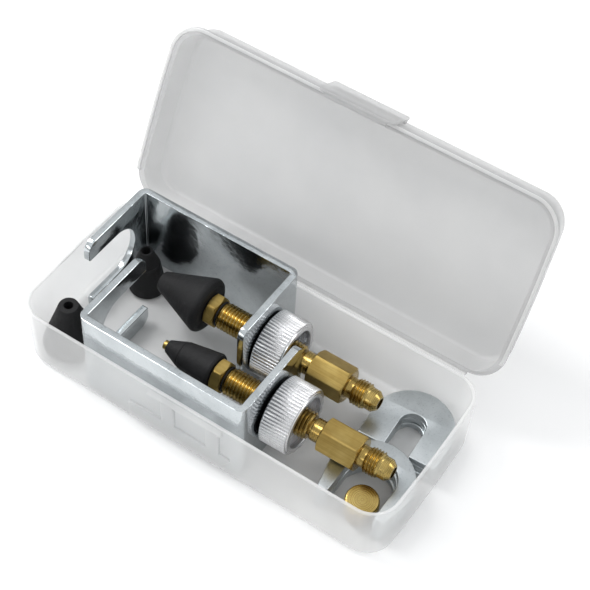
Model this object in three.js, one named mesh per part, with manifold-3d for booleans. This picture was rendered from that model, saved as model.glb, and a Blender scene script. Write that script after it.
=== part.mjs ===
// Pipe-end adaptor kit in a hinged plastic case, with the lid standing open.
// Two U-shaped steel yokes each carry a threaded brass stem with a rubber cone at one end and a
// flare fitting at the other. Spare cones, slotted reducer plates and a flare cap lie beside them.
//
// Millimetres, +Z up. The origin is the centre of the case's underside, +X runs along the case
// towards the flare fittings, and +Y towards the lid's hinge.

import * as THREE from "three";
import { mergeVertices } from "three/addons/utils/BufferGeometryUtils.js";
import Module from "manifold-3d";

// ---------------------------------------------------------------- driving dimensions

const CASE_LENGTH = 174;
const CASE_WIDTH = 76;
const CASE_HEIGHT = 30.5; // rim of the base above the surface it stands on
const CASE_WALL = 1.4;
const CASE_DRAFT = 0.7; // how much each side of the base narrows from rim to underside
const CASE_CORNER = 11; // radius of the vertical corners at the rim
const CASE_BOW = 0.9; // how far the middle of a short side stands out

const LID_OPEN_DEG = 117;
const LID_DEPTH = 16; // from the edge of the skirt to the top
const LID_STEP_IN = 1.7; // the upper tier is set in from the skirt by this much
const LID_SKIRT = 2.7; // height of the skirt
const LID_LEDGE = 1.6; // height at which the ledge passes over the base's rim
const LID_SIDE_GAP = 0.6; // between the skirt and the base at the short sides
const LID_FRONT_GAP = 1.2; // between the skirt and the base at the front
const HINGE_BELOW_RIM = 1.3;
const HINGE_BEHIND_WALL = 0.9;
const HINGE_LENGTH = 152;
const HINGE_WEB = 0.55; // radius of the flexible web

const LATCH_WIDTH = 34.7;
const LATCH_MIDDLE = -2.4; // the latch sits a little to the left of the case's middle
const LATCH_HEIGHT = 15.3;
const LATCH_THICKNESS = 1.2;
const LATCH_TOP = 11.3; // above the skirt's edge, where the latch flexes
const LATCH_ROOT_GAP = 0.1; // added to what the lid's sloping front wall leaves at the root
const CATCH_BEAD = 1.2; // how far the catch stands out from the front wall

const PLATE_STEEL = 3; // thickness of yokes and slotted plates
const YOKE_LENGTH = 78.5;
const YOKE_ARM = 39.9; // from the back face to the arm's tip
const YOKE_HEIGHT = 41.7;
const FORK_SLOT = 23.7;
const FORK_SLOT_FROM_BACK = 10.7; // from the back face to the closed end of the slot
const STEM_HOLE_FROM_BACK = 22.6;

const STEM_RADIUS = 5.9; // M12 thread
const FLARE_RADIUS = 5.5; // 7/16 inch thread of a 1/4 inch SAE flare
const NUT_RADIUS = 14.25;
const NUT_LENGTH = 12;
const WASHER_THICKNESS = 0.9;
const WASHER_RADIUS = 12.4;
const NUT_SKIRT = 0.9; // how far the nut's ribbed outside reaches over the washer's edge

// The slotted plates: outer radius, length of the legs past the arc's centre, width of the slot,
// and how far the legs' outer edges draw together, in degrees.
const NARROW_REDUCER = { radius: 17, leg: 13.9, slot: 11.1, draw: 0 };
const WIDE_REDUCER = { radius: 17.4, leg: 14.4, slot: 20.8, draw: 12 };

const CLEARANCE = 0.3; // between pieces that touch
const REST_GAP = 0.1; // under a flat piece that stands on the case's floor

const ROUND = 40; // segments in a large circle
const SMALL_ROUND = 24;

// ---------------------------------------------------------------- derived sizes

const FLOOR = CASE_WALL;
const HINGE_Y = CASE_WIDTH / 2 + HINGE_BEHIND_WALL;
const HINGE_Z = CASE_HEIGHT - HINGE_BELOW_RIM;
const LID_HALF_LENGTH = CASE_LENGTH / 2 + LID_SIDE_GAP + CASE_WALL;
const LID_FRONT = HINGE_Y + CASE_WIDTH / 2 + LID_FRONT_GAP + CASE_WALL; // from the hinge's axis
const LID_BACK = HINGE_BEHIND_WALL; // from the hinge's axis to the lid's back wall
const HOOK_GAP = 0.4; // between the latch's hook and the tip of the catch
const HOOK_REACH = HINGE_Y + CASE_WIDTH / 2 + CATCH_BEAD + HOOK_GAP; // from the hinge's axis
const YOKE_TOP = FLOOR + REST_GAP + YOKE_HEIGHT;
const YOKE_MIDDLE = YOKE_TOP - YOKE_HEIGHT / 2;

// Where each yoke stands: its left end, its back face, and which way its arms point.
const YOKES = {
  back: { left: -77.25, face: 34.95, arms: -1 },
  front: { left: -56.2, face: -34.95, arms: 1 },
};
// How far each stem leans about the vertical in its hole, and how its two hexagons are turned.
const STEMS = {
  back: { yaw: 0, nozzleTurn: 30, couplerTurn: 0 },
  front: { yaw: 1, nozzleTurn: 30, couplerTurn: 30 },
};
const LOOSE_BORE = STEM_RADIUS + 0.4; // every hole that the thread passes through
const ARM_FACE_ON_STEM = 21.85; // from the start of the thread to the arm's outer face

// ---------------------------------------------------------------- solids

const wasm = await Module();
wasm.setup();

/** A closed three.js geometry as a manifold-3d solid. */
function solid(geometry) {
  const bare = geometry.index ? geometry.toNonIndexed() : geometry.clone();
  bare.deleteAttribute("normal");
  bare.deleteAttribute("uv");
  const merged = mergeVertices(bare, 1e-4);
  return new wasm.Manifold(
    new wasm.Mesh({
      numProp: 3,
      vertProperties: merged.attributes.position.array,
      triVerts: new Uint32Array(merged.index.array),
    }),
  );
}

/** A manifold-3d solid as a three.js geometry. */
function geometryOf(body) {
  const mesh = body.getMesh();
  const stride = mesh.numProp;
  const positions = new Float32Array(mesh.numVert * 3);
  for (let i = 0; i < mesh.numVert; i += 1) {
    positions.set(mesh.vertProperties.subarray(i * stride, i * stride + 3), i * 3);
  }
  const geometry = new THREE.BufferGeometry();
  geometry.setAttribute("position", new THREE.BufferAttribute(positions, 3));
  geometry.setIndex(new THREE.BufferAttribute(mesh.triVerts, 1));
  geometry.computeVertexNormals();
  return geometry;
}

function join(...geometries) {
  return geometryOf(geometries.map(solid).reduce((sum, next) => sum.add(next)));
}

function cut(body, ...tools) {
  return geometryOf(tools.map(solid).reduce((rest, tool) => rest.subtract(tool), solid(body)));
}

function common(a, b) {
  return geometryOf(solid(a).intersect(solid(b)));
}

/** A box given by its two opposite corners. */
function block([x0, y0, z0], [x1, y1, z1]) {
  const box = new THREE.BoxGeometry(x1 - x0, y1 - y0, z1 - z0);
  return box.translate((x0 + x1) / 2, (y0 + y1) / 2, (z0 + z1) / 2);
}

/** A solid of revolution about +X from [x, radius] pairs, run from left to right outside. */
function turned(profile, segments = SMALL_ROUND) {
  const points = profile.map(([x, radius]) => new THREE.Vector2(radius, x));
  return new THREE.LatheGeometry(points, segments).rotateZ(-Math.PI / 2);
}

/** A tube along +X: the outer profile from left to right, then back along the bore. */
function turnedTube(profile, bore, segments = SMALL_ROUND) {
  const first = profile[0][0];
  const last = profile[profile.length - 1][0];
  return turned([[first, bore], ...profile, [last, bore], [first, bore]], segments);
}

/** A round bar along +X. */
function bar(x0, x1, radius, segments = SMALL_ROUND) {
  return turned([[x0, 0], [x0, radius], [x1, radius], [x1, 0]], segments);
}

/** A chamfered hexagonal bar along +X. Two flats face +Y and -Y before the turn, in degrees. */
function hexBar(x0, x1, acrossFlats, turn) {
  const corner = acrossFlats / Math.sqrt(3);
  const flat = acrossFlats / 2;
  const chamfer = 0.7;
  const prism = new THREE.CylinderGeometry(corner, corner, x1 - x0, 6);
  prism.rotateZ(-Math.PI / 2).translate((x0 + x1) / 2, 0, 0);
  prism.rotateX(THREE.MathUtils.degToRad(turn));
  const envelope = turned(
    [[x0, 0], [x0, flat - 0.1], [x0 + chamfer, corner], [x1 - chamfer, corner], [x1, flat - 0.1], [x1, 0]],
    SMALL_ROUND,
  );
  return common(prism, envelope);
}

// ---------------------------------------------------------------- the case

const CORNER_STEPS = 6;
const SIDE_STEPS = 4;
const FILLET_STEPS = 3;

/** One level of a tray's wall: a rounded rectangle whose short sides bow out a little. */
function ring({ z, halfLength, front, back, corner }) {
  const outline = [];
  for (let quarter = 0; quarter < 4; quarter += 1) {
    const right = quarter === 0 || quarter === 3;
    const rear = quarter < 2;
    const centreX = (right ? 1 : -1) * (halfLength - corner);
    const centreY = rear ? back - corner : front + corner;
    for (let step = 0; step <= CORNER_STEPS; step += 1) {
      const angle = (quarter + step / CORNER_STEPS) * (Math.PI / 2);
      outline.push(
        new THREE.Vector3(centreX + corner * Math.cos(angle), centreY + corner * Math.sin(angle), z),
      );
    }
  }
  const middle = (front + back) / 2;
  const halfWidth = (back - front) / 2;
  const points = [];
  outline.forEach((point, i) => {
    points.push(point);
    if ((i + 1) % (CORNER_STEPS + 1) !== 0) return;
    const next = outline[(i + 1) % outline.length];
    for (let step = 1; step < SIDE_STEPS; step += 1) {
      points.push(point.clone().lerp(next, step / SIDE_STEPS));
    }
  });
  points.forEach((point) => {
    const across = (point.y - middle) / halfWidth;
    point.x += Math.sign(point.x) * CASE_BOW * (1 - across * across);
  });
  return points;
}

/** A shell skinned over rings. The first ring's cap faces down and the last ring's faces up. */
function skinned(rings) {
  const count = rings[0].length;
  const positions = rings.flat().flatMap((point) => point.toArray());
  const faces = [];
  const corner = (level, i) => level * count + (i % count);
  for (let level = 0; level + 1 < rings.length; level += 1) {
    for (let i = 0; i < count; i += 1) {
      faces.push(corner(level, i), corner(level, i + 1), corner(level + 1, i + 1));
      faces.push(corner(level, i), corner(level + 1, i + 1), corner(level + 1, i));
    }
  }
  const cap = (level, facesUp) => {
    const box = new THREE.Box3().setFromPoints(rings[level]);
    positions.push(...box.getCenter(new THREE.Vector3()).toArray());
    const centre = positions.length / 3 - 1;
    for (let i = 0; i < count; i += 1) {
      const [a, b] = facesUp ? [i, i + 1] : [i + 1, i];
      faces.push(centre, corner(level, a), corner(level, b));
    }
  };
  cap(0, false);
  cap(rings.length - 1, true);
  const geometry = new THREE.BufferGeometry();
  geometry.setAttribute("position", new THREE.Float32BufferAttribute(positions, 3));
  geometry.setIndex(faces);
  return geometry;
}

/** The levels of a quarter-round edge: each has a share of the radius inwards and upwards. */
function quarterRound() {
  return Array.from({ length: FILLET_STEPS + 1 }, (_, i) => {
    const angle = ((i / FILLET_STEPS) * Math.PI) / 2;
    return { inwards: 1 - Math.sin(angle), upwards: 1 - Math.cos(angle) };
  });
}

function caseBase() {
  const outerFillet = 3;
  const innerFillet = 1;
  const level = (z, inset) => {
    const draft = CASE_DRAFT * (1 - z / CASE_HEIGHT);
    return ring({
      z,
      halfLength: CASE_LENGTH / 2 - CASE_BOW - inset - draft,
      front: -CASE_WIDTH / 2 + inset + draft,
      back: CASE_WIDTH / 2 - inset - draft,
      corner: CASE_CORNER - inset * 0.6,
    });
  };
  const outside = quarterRound().map((q) => level(q.upwards * outerFillet, q.inwards * outerFillet));
  const inside = quarterRound()
    .reverse()
    .map((q) => level(FLOOR + q.upwards * innerFillet, CASE_WALL + q.inwards * innerFillet));
  const shell = skinned([
    ...outside,
    level(CASE_HEIGHT, 0),
    level(CASE_HEIGHT, CASE_WALL),
    ...inside,
  ]);
  return join(shell, catchBead());
}

/** The wedge on the front wall that the latch hooks under: flat below and sloping above. */
function catchBead() {
  const wall = -CASE_WIDTH / 2;
  const root = wall + 0.5; // inside the wall, so that the two join
  const bottom = CASE_HEIGHT - 4;
  const tipTop = bottom + 0.6;
  const top = bottom + 2.6;
  const section = new THREE.Shape();
  section.moveTo(root, bottom);
  section.lineTo(wall - CATCH_BEAD, bottom);
  section.lineTo(wall - CATCH_BEAD, tipTop);
  section.lineTo(wall + 0.1, top);
  section.lineTo(root, top);
  return alongX(section, LATCH_MIDDLE - LATCH_WIDTH / 2, LATCH_MIDDLE + LATCH_WIDTH / 2);
}

/** The lid in its closed place, measured from the hinge's axis. */
function caseLid() {
  const fillet = 2.4;
  const innerFillet = 1.4;
  const taper = 0.4;
  const level = (z, inset, backInset = 0) =>
    ring({
      z,
      halfLength: LID_HALF_LENGTH - CASE_BOW - inset,
      front: -LID_FRONT + inset,
      back: -LID_BACK - backInset,
      corner: CASE_CORNER + 1.5 - inset * 0.6,
    });
  const upper = (z, inset) => {
    const drawnIn = inset + taper * (z / LID_DEPTH);
    return level(z, LID_STEP_IN + drawnIn, drawnIn);
  };
  const ceiling = LID_DEPTH - CASE_WALL;
  const inside = quarterRound().map((q) =>
    upper(ceiling - q.upwards * innerFillet, CASE_WALL + q.inwards * innerFillet),
  );
  const outside = quarterRound()
    .reverse()
    .map((q) => upper(LID_DEPTH - q.upwards * fillet, q.inwards * fillet));
  const shell = skinned([
    ...inside,
    upper(LID_LEDGE, CASE_WALL),
    level(LID_LEDGE, CASE_WALL, CASE_WALL),
    level(0, CASE_WALL, CASE_WALL),
    level(0, 0),
    level(LID_SKIRT - 0.3, 0),
    upper(LID_SKIRT, 0),
    ...outside,
  ]);
  const skirtAtHinge = block([-100, -CASE_CORNER, -1], [100, 5, LID_LEDGE]);
  const hingeFlange = block(
    [-HINGE_LENGTH / 2, -LID_BACK - 1, LID_LEDGE],
    [HINGE_LENGTH / 2, 0.6, LID_SKIRT],
  );
  return join(cut(shell, skirtAtHinge), hingeFlange);
}

/** The latch in its closed place, measured from the lid's hinge. It flexes about its top edge. */
function latchTab() {
  const near = LID_FRONT + CLEARANCE;
  const far = near + LATCH_THICKNESS;
  const top = LATCH_TOP;
  const bottom = top - LATCH_HEIGHT;
  const corner = 3;
  const half = LATCH_WIDTH / 2;
  const ribHeight = 2;
  const hookHeight = 1;
  const face = new THREE.Shape();
  face.moveTo(-half, top);
  face.lineTo(-half, bottom + corner);
  face.absarc(-half + corner, bottom + corner, corner, Math.PI, Math.PI * 1.5, false);
  face.absarc(half - corner, bottom + corner, corner, Math.PI * 1.5, Math.PI * 2, false);
  face.lineTo(half, top);
  const plate = new THREE.ExtrudeGeometry(face, {
    depth: LATCH_THICKNESS,
    bevelEnabled: false,
    curveSegments: 6,
  });
  plate.rotateX(Math.PI / 2).translate(0, -near, 0);
  const rib = block(
    [-half, -near - 0.1, top - ribHeight],
    [half, -(LID_FRONT - LID_STEP_IN + LATCH_ROOT_GAP), top],
  );
  const hook = block(
    [-half + corner, -far + 0.1, bottom],
    [half - corner, -HOOK_REACH, bottom + hookHeight],
  );
  return join(plate, rib, hook).translate(LATCH_MIDDLE, 0, 0);
}

// ---------------------------------------------------------------- steel pieces

/** A yoke with its back face on y = 0, its arms towards -Y and its mid-height on z = 0. */
function yoke() {
  const outerBend = 3.8;
  const innerBend = 0.8;
  const forkTipRadius = 5;
  const stemTipRadius = 4;
  const plan = new THREE.Shape();
  plan.moveTo(0, -YOKE_ARM);
  plan.lineTo(PLATE_STEEL, -YOKE_ARM);
  plan.lineTo(PLATE_STEEL, -PLATE_STEEL - innerBend);
  plan.absarc(PLATE_STEEL + innerBend, -PLATE_STEEL - innerBend, innerBend, Math.PI, Math.PI / 2, true);
  const inner = YOKE_LENGTH - PLATE_STEEL;
  plan.absarc(inner - innerBend, -PLATE_STEEL - innerBend, innerBend, Math.PI / 2, 0, true);
  plan.lineTo(inner, -YOKE_ARM);
  plan.lineTo(YOKE_LENGTH, -YOKE_ARM);
  plan.absarc(YOKE_LENGTH - outerBend, -outerBend, outerBend, 0, Math.PI / 2, false);
  plan.absarc(outerBend, -outerBend, outerBend, Math.PI / 2, Math.PI, false);
  const strip = new THREE.ExtrudeGeometry(plan, {
    depth: YOKE_HEIGHT,
    bevelEnabled: false,
    curveSegments: 6,
  }).translate(0, 0, -YOKE_HEIGHT / 2);

  const middle = YOKE_LENGTH / 2;
  const trimmed = common(
    strip,
    join(
      alongX(yokeSide(forkTipRadius), -1, middle),
      alongX(yokeSide(stemTipRadius), middle, YOKE_LENGTH + 1),
    ),
  );

  const slot = new THREE.Shape();
  const slotEnd = -FORK_SLOT_FROM_BACK - FORK_SLOT / 2;
  slot.moveTo(-YOKE_ARM - 1, FORK_SLOT / 2);
  slot.lineTo(-YOKE_ARM - 1, -FORK_SLOT / 2);
  slot.absarc(slotEnd, 0, FORK_SLOT / 2, -Math.PI / 2, Math.PI / 2, false);
  const fork = alongX(slot, -1, PLATE_STEEL + 1);

  const hole = bar(inner - 1, YOKE_LENGTH + 1, LOOSE_BORE).translate(0, -STEM_HOLE_FROM_BACK, 0);
  return cut(trimmed, fork, hole);
}

/** The side view of an arm, with its tip's two corners rounded. */
function yokeSide(tipRadius) {
  const half = YOKE_HEIGHT / 2;
  const side = new THREE.Shape();
  side.moveTo(5, -half);
  side.lineTo(5, half);
  side.lineTo(-YOKE_ARM + tipRadius, half);
  side.absarc(-YOKE_ARM + tipRadius, half - tipRadius, tipRadius, Math.PI / 2, Math.PI, false);
  side.absarc(-YOKE_ARM + tipRadius, -half + tipRadius, tipRadius, Math.PI, Math.PI * 1.5, false);
  return side;
}

/** A shape drawn in (y, z) and extruded along +X. */
function alongX(shape, x0, x1) {
  const geometry = new THREE.ExtrudeGeometry(shape, {
    depth: x1 - x0,
    bevelEnabled: false,
    curveSegments: 10,
  });
  // The shape's x becomes y, its y becomes z, and the extrusion runs along x.
  const turn = new THREE.Matrix4().makeBasis(
    new THREE.Vector3(0, 1, 0),
    new THREE.Vector3(0, 0, 1),
    new THREE.Vector3(1, 0, 0),
  );
  return geometry.applyMatrix4(turn).translate(x0, 0, 0);
}

/** A slotted plate lying on z = 0, its arc's centre on the origin and its slot open to -Y. */
function reducerPlate({ radius, leg, slot, draw }) {
  const half = slot / 2;
  const angle = THREE.MathUtils.degToRad(draw);
  const legEnd = radius * Math.cos(angle) - (leg - radius * Math.sin(angle)) * Math.tan(angle);
  const outline = new THREE.Shape();
  outline.moveTo(-legEnd, -leg);
  outline.lineTo(-half, -leg);
  outline.absarc(0, 0, half, Math.PI, 0, true);
  outline.lineTo(half, -leg);
  outline.lineTo(legEnd, -leg);
  outline.absarc(0, 0, radius, -angle, Math.PI + angle, false);
  return new THREE.ExtrudeGeometry(outline, {
    depth: PLATE_STEEL,
    bevelEnabled: false,
    curveSegments: 14,
  });
}

// ---------------------------------------------------------------- pieces on a stem
// All of these lie along +X, measured from the start of the stem's thread.

const HEX_START = -5.8;
const HEX_END = -1;
const THREAD_END = 38.5;
const COLLAR_START = 39.6;
const COUPLER_HEX_START = 44.2;
const COUPLER_HEX_END = 60.9;
const FLARE_THREAD_START = 63.6;
const FLARE_THREAD_END = 69.9;
const FLARE_END = 74.9;
const NOZZLE_TIP = -31;
const NOZZLE_RADIUS = 1.95;
const NOZZLE_BORE = 0.9;
const SPIGOT_RADIUS = 3.4;
const SPIGOT_BORE = SPIGOT_RADIUS + CLEARANCE;
const SPIGOT_IN = 6.2; // how far the nozzle's spigot goes into the stem
const STEM_SPIGOT_END = 50;
const STEM_BORE = 2.2;

function threadedStem() {
  const chamfer = 0.8;
  const body = turnedTube(
    [
      [0, STEM_RADIUS - chamfer],
      [chamfer, STEM_RADIUS],
      [THREAD_END - chamfer, STEM_RADIUS],
      [THREAD_END, STEM_RADIUS - chamfer],
      [THREAD_END, SPIGOT_RADIUS],
      [STEM_SPIGOT_END, SPIGOT_RADIUS],
    ],
    STEM_BORE,
  );
  return cut(body, bar(-1, SPIGOT_IN + CLEARANCE, SPIGOT_BORE));
}

function nozzle(turn) {
  const tube = bar(NOZZLE_TIP, HEX_START + 1, NOZZLE_RADIUS);
  const spigot = bar(HEX_END - 1, SPIGOT_IN, SPIGOT_RADIUS);
  const body = join(tube, hexBar(HEX_START, HEX_END, 12.7, turn), spigot);
  return cut(body, bar(NOZZLE_TIP - 1, SPIGOT_IN + 1, NOZZLE_BORE));
}

function stemSeal() {
  const section = 0.34;
  const torus = new THREE.TorusGeometry(5.5, section, 6, SMALL_ROUND);
  return torus.rotateY(Math.PI / 2).translate(HEX_END / 2, 0, 0);
}

function flareCoupler(turn) {
  const collar = bar(COLLAR_START, COUPLER_HEX_START + 1, 4.75);
  const hex = hexBar(COUPLER_HEX_START, COUPLER_HEX_END, 14, turn);
  const seatRadius = 2.9;
  const noseRadius = 4.9;
  const fitting = turned([
    [COUPLER_HEX_END - 1, 0],
    [COUPLER_HEX_END - 1, 4.4],
    [FLARE_THREAD_START, 4.4],
    [FLARE_THREAD_START + 0.6, FLARE_RADIUS],
    [FLARE_THREAD_END - 0.6, FLARE_RADIUS],
    [FLARE_THREAD_END, noseRadius],
    [FLARE_END - (noseRadius - seatRadius), noseRadius],
    [FLARE_END, seatRadius],
    [FLARE_END, 0],
  ]);
  const throughBore = bar(COLLAR_START - 1, FLARE_END + 1, 2.4);
  const socket = bar(COLLAR_START - 1, STEM_SPIGOT_END + CLEARANCE, SPIGOT_BORE);
  return cut(join(collar, hex, fitting), throughBore, socket);
}

function thrustWasher() {
  return turnedTube([[0, WASHER_RADIUS], [WASHER_THICKNESS, WASHER_RADIUS]], LOOSE_BORE, ROUND);
}

/** The nut bears on the washer at x = 0, its skirt reaches back over the washer. */
function knurledNut() {
  const chamfer = 0.8;
  const recess = 10.9;
  const web = 5; // length of the threaded part
  const bore = LOOSE_BORE;
  const skirt = WASHER_RADIUS + CLEARANCE;
  return turned(
    [
      [0, bore],
      [0, skirt],
      [-NUT_SKIRT, skirt],
      [-NUT_SKIRT, NUT_RADIUS - chamfer],
      [chamfer - NUT_SKIRT, NUT_RADIUS],
      [NUT_LENGTH - chamfer, NUT_RADIUS],
      [NUT_LENGTH, NUT_RADIUS - chamfer],
      [NUT_LENGTH, recess],
      [web, recess],
      [web, bore],
      [0, bore],
    ],
    ROUND,
  );
}

const CONE_HOLE = NOZZLE_RADIUS + CLEARANCE;

/** The large rubber cone, from its tip at negative x to its base on x = 0. */
function largeCone() {
  return turnedTube(
    [[-24.3, 3.9], [-24, 4.2], [-2.8, 12], [-1.6, 11.9], [-0.5, 11], [0, 9.8]],
    CONE_HOLE,
    ROUND,
  );
}

/** The small rubber cone has a steep front third and a slow taper behind it. */
function smallCone() {
  return turnedTube([[-23.1, 2.6], [-14.9, 6], [-0.5, 8], [0, 7.6]], CONE_HOLE, ROUND);
}

// ---------------------------------------------------------------- the flare cap

const CAP_RADIUS = 6.8;
const CAP_HEIGHT = 11.6;
const CAP_DEPTH = 8.6; // of the threaded hollow

/** The cap stands on z = 0 with its hollow facing down. */
function flareCap() {
  const chamfer = 0.5;
  const hollow = FLARE_RADIUS + 0.2;
  const outline = [
    [CAP_HEIGHT, 0],
    [CAP_HEIGHT, CAP_RADIUS - chamfer],
    [CAP_HEIGHT - chamfer, CAP_RADIUS],
    [chamfer, CAP_RADIUS],
    [0, CAP_RADIUS - chamfer],
    [0, hollow],
    [CAP_DEPTH, hollow],
    [CAP_DEPTH, 0],
  ];
  return upright(turned(outline.reverse(), ROUND));
}

function capSeal() {
  return upright(bar(CAP_DEPTH - 1.4, CAP_DEPTH - 0.2, FLARE_RADIUS - 0.4));
}

/** Turns a piece made along +X so that it points up. */
function upright(geometry) {
  return geometry.rotateY(-Math.PI / 2);
}

// ---------------------------------------------------------------- materials

const FINISHES = {
  clearPlastic: { color: 0xcbcbc8, roughness: 0.35, metalness: 0, transparent: true, opacity: 0.45 },
  zincPlate: { color: 0xb9c0c4, roughness: 0.28, metalness: 1 },
  brass: { color: 0xb08d3c, roughness: 0.3, metalness: 1 },
  aluminium: { color: 0xc8c8cd, roughness: 0.4, metalness: 1 },
  rubber: { color: 0x2d2d2f, roughness: 0.85, metalness: 0 },
};

function piece(name, geometry, finish) {
  const mesh = new THREE.Mesh(geometry, new THREE.MeshStandardMaterial(FINISHES[finish]));
  mesh.name = name;
  return mesh;
}

// ---------------------------------------------------------------- assembly

const kit = new THREE.Group();

function addCase() {
  kit.add(piece("case_base", caseBase(), "clearPlastic"));
  const lidSwing = new THREE.Group();
  lidSwing.position.set(0, HINGE_Y, HINGE_Z);
  lidSwing.rotation.x = -THREE.MathUtils.degToRad(LID_OPEN_DEG);
  lidSwing.add(piece("case_lid", caseLid(), "clearPlastic"));
  lidSwing.add(piece("latch_tab", latchTab(), "clearPlastic"));
  kit.add(lidSwing);
  const web = piece("living_hinge", bar(-HINGE_LENGTH / 2, HINGE_LENGTH / 2, HINGE_WEB, 12), "clearPlastic");
  web.position.set(0, HINGE_Y, HINGE_Z);
  kit.add(web);
}

function addYoke(side) {
  const place = YOKES[side];
  const mesh = piece(`yoke_${side}`, yoke(), "zincPlate");
  mesh.position.set(place.left, place.face, YOKE_MIDDLE);
  // Arms towards +Y: the same part turned over about its length.
  mesh.rotation.x = place.arms > 0 ? Math.PI : 0;
  kit.add(mesh);
}

function addStem(side, cone) {
  const place = YOKES[side];
  const armFace = place.left + YOKE_LENGTH;
  const yaw = THREE.MathUtils.degToRad(STEMS[side].yaw);
  const stem = new THREE.Group();
  stem.position.set(armFace, place.face + place.arms * STEM_HOLE_FROM_BACK, YOKE_MIDDLE);
  stem.rotation.z = yaw;
  const add = (name, geometry, finish, x = -ARM_FACE_ON_STEM) => {
    const mesh = piece(`${name}_${side}`, geometry, finish);
    mesh.position.x = x;
    stem.add(mesh);
  };
  const washerAt = CLEARANCE + NUT_RADIUS * Math.sin(yaw);
  add("threaded_stem", threadedStem(), "brass");
  add("nozzle", nozzle(STEMS[side].nozzleTurn), "brass");
  add("stem_seal", stemSeal(), "rubber");
  add("flare_coupler", flareCoupler(STEMS[side].couplerTurn), "brass");
  add("rubber_cone", cone, "rubber", -ARM_FACE_ON_STEM + HEX_START - CLEARANCE);
  add("thrust_washer", thrustWasher(), "rubber", washerAt);
  add("knurled_nut", knurledNut(), "aluminium", washerAt + WASHER_THICKNESS + CLEARANCE);
  kit.add(stem);
}

function addSpareCones() {
  const large = piece("spare_cone_large", upright(largeCone().rotateZ(Math.PI)), "rubber");
  large.position.set(-71.8, -22.4, FLOOR + REST_GAP);
  const small = piece("spare_cone_small", upright(smallCone().rotateZ(Math.PI)), "rubber");
  small.position.set(-65.1, 19.7, FLOOR + REST_GAP);
  kit.add(large, small);
}

// Each stack's place, and its plates from the bottom up: shift in x and y, and turn in degrees.
const PLATE_STACKS = {
  narrow: {
    plate: NARROW_REDUCER,
    at: [66.8, 18.5],
    lies: [
      { shift: [-0.6, -0.5], turn: 2 },
      { shift: [-0.2, 0.1], turn: 2.5 },
      { shift: [0, 0], turn: 3.5 },
    ],
  },
  wide: {
    plate: WIDE_REDUCER,
    at: [67.3, -13.5],
    lies: [
      { shift: [-0.9, -0.4], turn: 0.5 },
      { shift: [-0.2, 0], turn: -0.5 },
      { shift: [-0.5, -0.3], turn: 0 },
      { shift: [0, 0], turn: 0 },
    ],
  },
};
const STACK_GAP = 0.3;

function addPlateStack(kind) {
  const { plate, at, lies } = PLATE_STACKS[kind];
  lies.forEach(({ shift, turn }, level) => {
    const mesh = piece(`slotted_plate_${kind}_${level + 1}`, reducerPlate(plate), "zincPlate");
    mesh.position.set(
      at[0] + shift[0],
      at[1] + shift[1],
      FLOOR + REST_GAP + level * (PLATE_STEEL + STACK_GAP),
    );
    mesh.rotation.z = THREE.MathUtils.degToRad(turn);
    kit.add(mesh);
  });
}

function addFlareCap() {
  const lean = new THREE.Vector3(0.08, -0.135, 1).normalize();
  const cap = new THREE.Group();
  const liftedRim = CAP_RADIUS * Math.sqrt(1 - lean.z * lean.z);
  cap.position.set(68.9, -21.9, FLOOR + REST_GAP + liftedRim);
  cap.quaternion.setFromUnitVectors(new THREE.Vector3(0, 0, 1), lean);
  cap.add(piece("flare_cap", flareCap(), "brass"), piece("cap_seal", capSeal(), "rubber"));
  kit.add(cap);
}

addCase();
addYoke("back");
addYoke("front");
addStem("back", largeCone());
addStem("front", smallCone());
addSpareCones();
addPlateStack("narrow");
addPlateStack("wide");
addFlareCap();

export default kit;
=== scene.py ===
"""Visual model of a pipe-end adaptor kit in a hinged plastic case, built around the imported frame.

Shapes are drawn in millimetres and placed in the frame's metres. Turned pieces lie along their own +X.
"""

import math

import bmesh
import bpy
from mathutils import Matrix, Vector


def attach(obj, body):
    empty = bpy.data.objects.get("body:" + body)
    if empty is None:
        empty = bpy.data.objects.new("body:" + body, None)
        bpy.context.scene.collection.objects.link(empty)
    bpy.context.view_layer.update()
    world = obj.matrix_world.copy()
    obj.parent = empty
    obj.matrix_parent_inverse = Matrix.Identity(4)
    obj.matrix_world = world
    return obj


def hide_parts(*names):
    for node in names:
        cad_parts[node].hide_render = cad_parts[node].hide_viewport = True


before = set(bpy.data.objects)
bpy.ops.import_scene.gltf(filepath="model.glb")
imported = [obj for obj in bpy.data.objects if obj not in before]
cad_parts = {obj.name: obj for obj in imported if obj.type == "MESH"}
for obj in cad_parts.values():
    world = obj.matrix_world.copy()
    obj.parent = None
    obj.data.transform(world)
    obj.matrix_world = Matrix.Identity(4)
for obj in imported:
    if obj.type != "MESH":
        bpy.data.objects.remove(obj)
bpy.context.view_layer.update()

MM = 0.001
scene = bpy.context.scene
scene.view_settings.view_transform = "Standard"

# ------------------------------------------------------------------ sizes shared by several pieces

CASE_LENGTH = 174.0
CASE_WIDTH = 76.0
CASE_HEIGHT = 30.5
CASE_WALL = 1.4
CASE_DRAFT = 0.7
CASE_CORNER = 11.0
CASE_BOW = 0.9

LID_OPEN = math.radians(117)
LID_DEPTH = 16.0
LID_STEP_IN = 1.7
LID_SKIRT = 2.7
LID_LEDGE = 1.6
LID_TAPER = 0.4
HINGE_Y = 38.9
HINGE_Z = 29.2
HINGE_LENGTH = 152.0
LID_HALF_LENGTH = 89.0
LID_CORNER = CASE_CORNER + 1.5
LID_FRONT = 79.5
LID_BACK = 0.9

LATCH_WIDTH = 34.7
LATCH_MIDDLE = -2.4
LATCH_TOP = 11.3
LATCH_HEIGHT = 15.3
LATCH_THICKNESS = 1.2

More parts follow.
